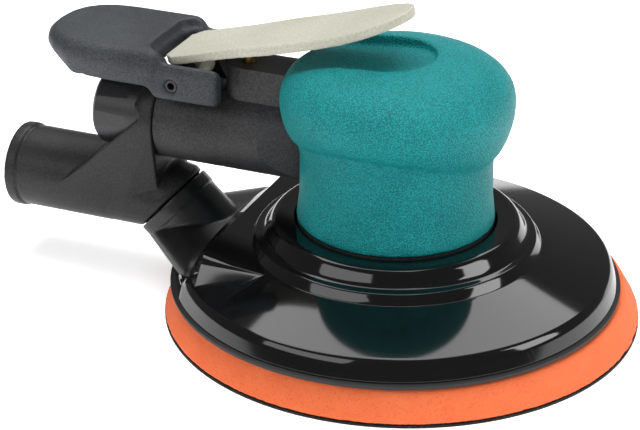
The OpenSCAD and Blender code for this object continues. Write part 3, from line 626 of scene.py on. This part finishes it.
# %% Mix them all
teal = teal_rubber()
off_white = grained_plastic("off_white_plastic", (163, 161, 146), (190, 188, 173),
                            0.42, 1500.0, 0.05 * MM)
charcoal = grained_plastic("charcoal_plastic", (24, 27, 29), (64, 68, 72),
                           0.5, 1900.0, 0.16 * MM, 0.3)
composite = grained_plastic("dark_composite", (14, 14, 15), (54, 54, 56),
                            0.46, 1700.0, 0.12 * MM, 0.3)
hose_black = grained_plastic("hose_black", (12, 12, 13), (42, 42, 43), 0.42, 1700.0, 0.08 * MM, 0.3)
duct_black = grained_plastic("duct_black", (12, 12, 13), (24, 24, 25), 0.36, 900.0, 0.03 * MM)
gloss = gloss_black()
foam_orange = orange_foam()
steel = turned_metal("turned_steel", (196, 198, 202))
bright = turned_metal("machined_aluminium", (214, 216, 220), 0.34)
brass = turned_metal("turned_brass", (168, 138, 88), 0.34)
black_oxide = grained_plastic("black_oxide", (24, 24, 26), (40, 40, 43), 0.4, 1800.0, 0.04 * MM)
seal = seal_rubber()
hooks = hook_fabric()
acetal = grained_plastic("white_acetal", (206, 206, 200), (226, 226, 220), 0.4, 700.0, 0.02 * MM)
vane_brown = grained_plastic("vane_laminate", (86, 52, 28), (118, 76, 44), 0.5, 500.0, 0.03 * MM)
laminate = grained_plastic("glass_laminate", (150, 144, 108), (182, 176, 140),
                           0.5, 300.0, 0.05 * MM)
print("finishes mixed:", len(bpy.data.materials))

# %% [markdown]
# ## Paint
# Each piece takes one finish. The pieces inside the head are painted too, since the model can be
# taken apart.

# %% Paint the frame
teal.paint("grip_cover")
off_white.paint("throttle_lever")
charcoal.paint("wrist_platform")
composite.paint("motor_housing")
hose_black.paint("vacuum_elbow")
duct_black.paint("vacuum_connector")
gloss.paint(shroud_shell)
foam_orange.paint(foam_pad)
black_oxide.paint("inlet_bushing", "lever_pin", "bearing_clip", "shroud_clamp_ring")
steel.paint("inlet_screen", valve_coil, "cylinder_liner", "rotor", "rotor_key",
            "upper_bearing", "lower_bearing", "alignment_pin", "shaft_balancer", "spindle_bearings",
            "pad_spindle")
bright.paint("upper_end_plate", "lower_end_plate", "motor_lock_ring")
brass.paint("valve_stem")
acetal.paint("valve_seat")
vane_brown.paint("rotor_vanes")
laminate.paint("pad_plate")
hooks.paint("pad_hook_face")
seal.paint("shroud_skirt", "bushing_o_ring", "valve_o_ring", "cylinder_o_ring", "elbow_o_ring")
print("painted", len(nodes), "nodes")

# %% [markdown]
# ## Studio
# A plain pale floor and soft lights. Gloss black shows only what it mirrors, so the lights are
# large rectangles: their outlines become the grey panels on the shroud.

# %% Lay the floor
FLOOR_REACH = 3.0   # metres from its middle to each side
FLOOR_GLOW = 0.5    # lifts the floor to the white of a studio sweep

corners = [(x * FLOOR_REACH, y * FLOOR_REACH, 0) for x, y in ((-1, -1), (1, -1), (1, 1), (-1, 1))]
floor_mesh = bpy.data.meshes.new("floor")
floor_mesh.from_pydata(corners, [], [(0, 1, 2, 3)])
floor = bpy.data.objects.new("floor", floor_mesh)
scene.collection.objects.link(floor)
floor.location.z = cad_box[0][2]
pale = Finish("pale_floor", rough=0.9)
pale.set("Base Color", (0.92, 0.92, 0.92, 1.0))
pale.set("Emission Color", (1.0, 1.0, 1.0, 1.0))
pale.set("Emission Strength", FLOOR_GLOW)
floor.data.materials.append(pale.material)
print("floor laid")

# %% [markdown]
# ## Lights
# The ceiling softbox gives the grey panels on the cone, and the grip cuts its dark shape out of
# them. Those at the front left and at the right draw the short strips on the collar, the ledge and
# the rim. Two more only fill the shadows: they're hidden from mirrors, so the gloss stays black.

# %% Hang the lights
WORLD_LIGHT = 0.16   # a faint light from all sides


def soft_light(name, at, aim, size, brightness):
    """A rectangular softbox. Its power follows from its size and from how bright its face looks."""
    data = bpy.data.lights.new(name, "AREA")
    data.shape = "RECTANGLE"
    data.size, data.size_y = size
    data.energy = brightness * math.pi * size[0] * size[1]
    lamp = bpy.data.objects.new(name, data)
    scene.collection.objects.link(lamp)
    lamp.location = at
    lamp.rotation_euler = (Vector(aim) - Vector(at)).to_track_quat("-Z", "Y").to_euler()
    return lamp


soft_light("ceiling", (-0.225, 0.54, 1.0), (-0.225, 0.54, 0.0), (0.87, 1.32), 3.4)
soft_light("right_strip", (0.88, 0.1, 0.5), (0, 0, 0.03), (0.4, 0.5), 6.5)
soft_light("front_left", (-0.5, -1.05, 0.7), (0, 0, 0.03), (1.0, 0.5), 2.6)
front_low = soft_light("front_low", (0.35, -1.2, 0.25), (0, 0, 0.03), (1.0, 0.4), 2.5)
front_low.visible_glossy = False
overhead = soft_light("overhead", (-0.1, 0.0, 1.1), (-0.1, 0.0, 0.0), (1.4, 1.2), 1.5)
overhead.visible_glossy = False

world = bpy.data.worlds.new("studio")
world.use_nodes = True
world.node_tree.nodes["Background"].inputs[0].default_value = (1, 1, 1, 1)
world.node_tree.nodes["Background"].inputs[1].default_value = WORLD_LIGHT
scene.world = world
scene.view_settings.view_transform = "Standard"
print("lights hung:", len(bpy.data.lights))
